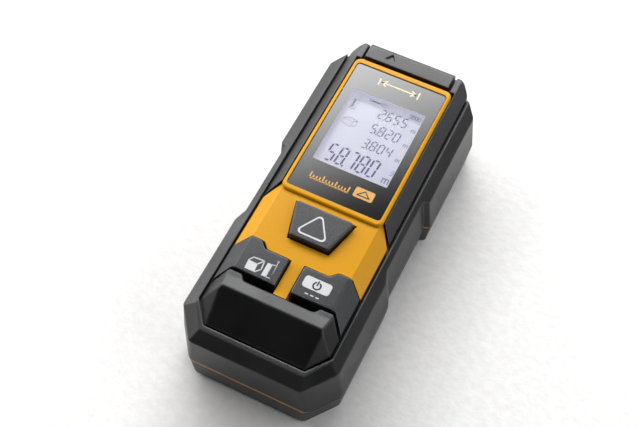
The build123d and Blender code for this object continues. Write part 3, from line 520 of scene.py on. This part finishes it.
bm = bmesh.new()
strokes(bm, [(SPAN_LEFT, SPAN_Y), (SPAN_RIGHT, SPAN_Y)], BOLD_LINE, PRINT_Z)
for end_x, inward in ((SPAN_LEFT, 1), (SPAN_RIGHT, -1)):
    barb_x, stop_x = end_x + inward * 1.3, end_x - inward * 0.7
    strokes(bm, [(barb_x, SPAN_Y + 0.8), (end_x, SPAN_Y), (barb_x, SPAN_Y - 0.8)], BOLD_LINE, PRINT_Z)
    strokes(bm, [(stop_x, SPAN_Y + 1.0), (stop_x, SPAN_Y - 1.0)], 0.45, PRINT_Z)
piece_from("span_print", bm, "casing", GOLD_INK)

bm = bmesh.new()
strokes(bm, [(RULE_LEFT, RULE_Y), (RULE_RIGHT, RULE_Y)], BOLD_LINE, PRINT_Z)
for k in range(TICKS):
    tick_x = RULE_LEFT + 0.1 + TICK_PITCH * k
    tick = 1.7 if k % 4 == 0 else 1.0
    strokes(bm, [(tick_x, RULE_Y), (tick_x, RULE_Y + tick)], 0.38, PRINT_Z)
plate(bm, rounded_outline(BADGE, 0.55), PRINT_Z)
piece_from("rule_print", bm, "casing", AMBER_INK)

bm = bmesh.new()
strokes(bm, [(4.5, 51.8), (7.8, 51.8), (6.15, 53.4)], 0.3, BADGE_SIGN_Z, closed=True)
piece_from("badge_sign", bm, "casing", BLACK_PRINT)

# ------------------------------------------------------------------ signs on the keys
BUTTON_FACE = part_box("measure_button")[1].z / MM
KEY_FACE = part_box("mode_key")[1].z / MM
KEY_LINE, THIN_LINE, POWER_LINE = 0.3, 0.2, 0.36
POWER_X, POWER_Y, POWER_RADIUS = 7.15, 24.05, 0.95     # the ring of the power sign
POWER_START, POWER_SWEEP, POWER_STEPS = 120, 300, 16   # degrees, leaving a gap at the top

# open triangle
bm = bmesh.new()
triangle = [(-4.7, 35.0), (4.3, 35.0), (-0.2, 42.3)]
inner = [(-3.97, 35.45), (3.57, 35.45), (-0.2, 41.55)]
ring(bm, rounded_outline(triangle, 1.0), rounded_outline(inner, 0.7), BUTTON_FACE)
piece_from("button_sign", bm, "measure_button", WHITE_INK)

# solid box: its filled front, and the outlines of its top and side
bm = bmesh.new()
plate(bm, [(-10.7, 20.8), (-8.1, 20.85), (-8.25, 23.1), (-10.85, 23.2)], KEY_FACE)
strokes(bm, [(-10.75, 23.2), (-10.0, 24.35), (-7.1, 24.55), (-8.25, 23.15)], KEY_LINE, KEY_FACE)
strokes(bm, [(-7.1, 24.55), (-6.85, 22.1), (-8.05, 20.9)], KEY_LINE, KEY_FACE)
# wall seen edge on, and the tilted line beside it
plate(bm, box_outline(-6.2, 20.8, -5.05, 24.5), KEY_FACE)
strokes(bm, [(-5.0, 20.9), (-3.75, 20.9), (-3.85, 24.6), (-5.0, 24.5)], THIN_LINE, KEY_FACE, closed=True)
strokes(bm, [(-3.75, 20.9), (-4.0, 25.8)], THIN_LINE, KEY_FACE)
plate(bm, rounded_outline(box_outline(-4.25, 25.5, -3.75, 26.0), 0.2), KEY_FACE)
piece_from("mode_sign", bm, "mode_key", WHITE_INK)

# badge with the power sign on it, and three dashes below
bm = bmesh.new()
plate(bm, rounded_outline(box_outline(3.6, 22.6, 10.7, 25.8), 0.8), KEY_FACE)
for k in range(3):
    dash_x = 5.4 + 1.4 * k
    strokes(bm, [(dash_x, 21.2), (dash_x + 0.7, 21.2)], KEY_LINE, KEY_FACE)
piece_from("power_badge", bm, "power_key", WHITE_INK)

bm = bmesh.new()
arc = []
for k in range(POWER_STEPS + 1):
    turn = math.radians(POWER_START + POWER_SWEEP * k / POWER_STEPS)
    arc.append((POWER_X + POWER_RADIUS * math.cos(turn), POWER_Y + POWER_RADIUS * math.sin(turn)))
strokes(bm, arc, POWER_LINE, KEY_FACE + OVER_INK)
strokes(bm, [(POWER_X, POWER_Y + 0.15), (POWER_X, POWER_Y + 1.3)], POWER_LINE, KEY_FACE + OVER_INK)
piece_from("power_sign", bm, "power_key", BLACK_PRINT)


# ------------------------------------------------------------------ floor, light and camera
FLOOR_SIZE, FLOOR_GAP = 1.5, 0.05 * MM
AZIMUTH, ELEVATION = math.radians(26.3), math.radians(59.4)
CAMERA_PLACE = Vector((62.15 * MM, REAR - 85.63 * MM, 266.4 * MM))
LENS, SENSOR = 64.0, 36
SKY_COLOUR = (0.93, 0.95, 1.0, 1)
KEY_FADE = (-1.3, 1.0, 0.0)          # the way in which the key light grows brighter across its face


def floor_material():
    """Pale ground with a faint coarse texture."""
    mat, tree, shader = new_material("floor", 0.75, specular=0.3)
    coarse = noise(tree, 0.45, detail=4.0, rough=0.55)
    tone = ramp(tree, coarse, (0.80, 0.79, 0.775), (0.86, 0.855, 0.845))
    link(tree, tone, shader.inputs["Base Color"])
    add_bump(tree, shader, coarse, depth=0.25, strength=0.5)
    return mat


bm = bmesh.new()
bmesh.ops.create_grid(bm, x_segments=8, y_segments=8, size=FLOOR_SIZE)
floor_mesh = bpy.data.meshes.new("floor")
bm.to_mesh(floor_mesh)
bm.free()
floor = bpy.data.objects.new("floor", floor_mesh)
floor.location.z = LOW.z - FLOOR_GAP
bpy.context.scene.collection.objects.link(floor)
floor_mesh.materials.append(floor_material())

backward = Vector((math.sin(AZIMUTH) * math.cos(ELEVATION), -math.cos(AZIMUTH) * math.cos(ELEVATION),
                   math.sin(ELEVATION)))
rightward = Vector((math.cos(AZIMUTH), math.sin(AZIMUTH), 0))
camera_data = bpy.data.cameras.new("camera")
camera_data.sensor_width = SENSOR
camera_data.lens = LENS
camera = bpy.data.objects.new("camera", camera_data)
bpy.context.scene.collection.objects.link(camera)
turned = Matrix((rightward, backward.cross(rightward), backward)).transposed().to_4x4()
camera.matrix_world = Matrix.Translation(CAMERA_PLACE) @ turned
bpy.context.scene.camera = camera

world = bpy.data.worlds.new("studio")
world.use_nodes = True
sky_tree = world.node_tree
direction = sky_tree.nodes.new("ShaderNodeTexCoord")
parts = sky_tree.nodes.new("ShaderNodeSeparateXYZ")
link(sky_tree, direction.outputs["Generated"], parts.inputs["Vector"])
backdrop = sky_tree.nodes["Background"]
backdrop.inputs["Color"].default_value = SKY_COLOUR
sky_strength = span(sky_tree, parts.outputs["Y"], 0.07, 1.8, start=0.48, end=0.95)
link(sky_tree, sky_strength, backdrop.inputs["Strength"])
bpy.context.scene.world = world


def softbox(name, size, power, place, target=None, fade=None):
    """Rectangular area light facing down or at a target; fade, as given to span, dims one corner."""
    data = bpy.data.lights.new(name, "AREA")
    data.shape = "RECTANGLE"
    data.size, data.size_y = size
    data.energy = power
    lamp = bpy.data.objects.new(name, data)
    bpy.context.scene.collection.objects.link(lamp)
    lamp.location = place
    if target:
        lamp.rotation_euler = (Vector(target) - Vector(place)).to_track_quat("-Z", "Y").to_euler()
    if fade:
        data.use_nodes = True
        tree = data.node_tree
        geometry = tree.nodes.new("ShaderNodeNewGeometry")
        across = tree.nodes.new("ShaderNodeVectorMath")
        across.operation = "DOT_PRODUCT"
        across.inputs[1].default_value = KEY_FADE
        link(tree, geometry.outputs["Parametric"], across.inputs[0])
        strength = span(tree, across.outputs["Value"], *fade)
        link(tree, strength, tree.nodes["Emission"].inputs["Strength"])


softbox("key_light", (0.80, 0.60), 13.5, (-0.25, 0.55, 0.50), fade=(0.0, 1.0, -0.85, -0.58))
softbox("left_wall", (0.50, 0.40), 3.6, (-0.65, 0.10, 0.35), target=(0, 0, 0.01))
softbox("right_wall", (0.60, 0.40), 2.2, (0.60, 0.05, 0.40), target=(0.1, 0, 0))

bpy.context.scene.view_settings.view_transform = "Standard"
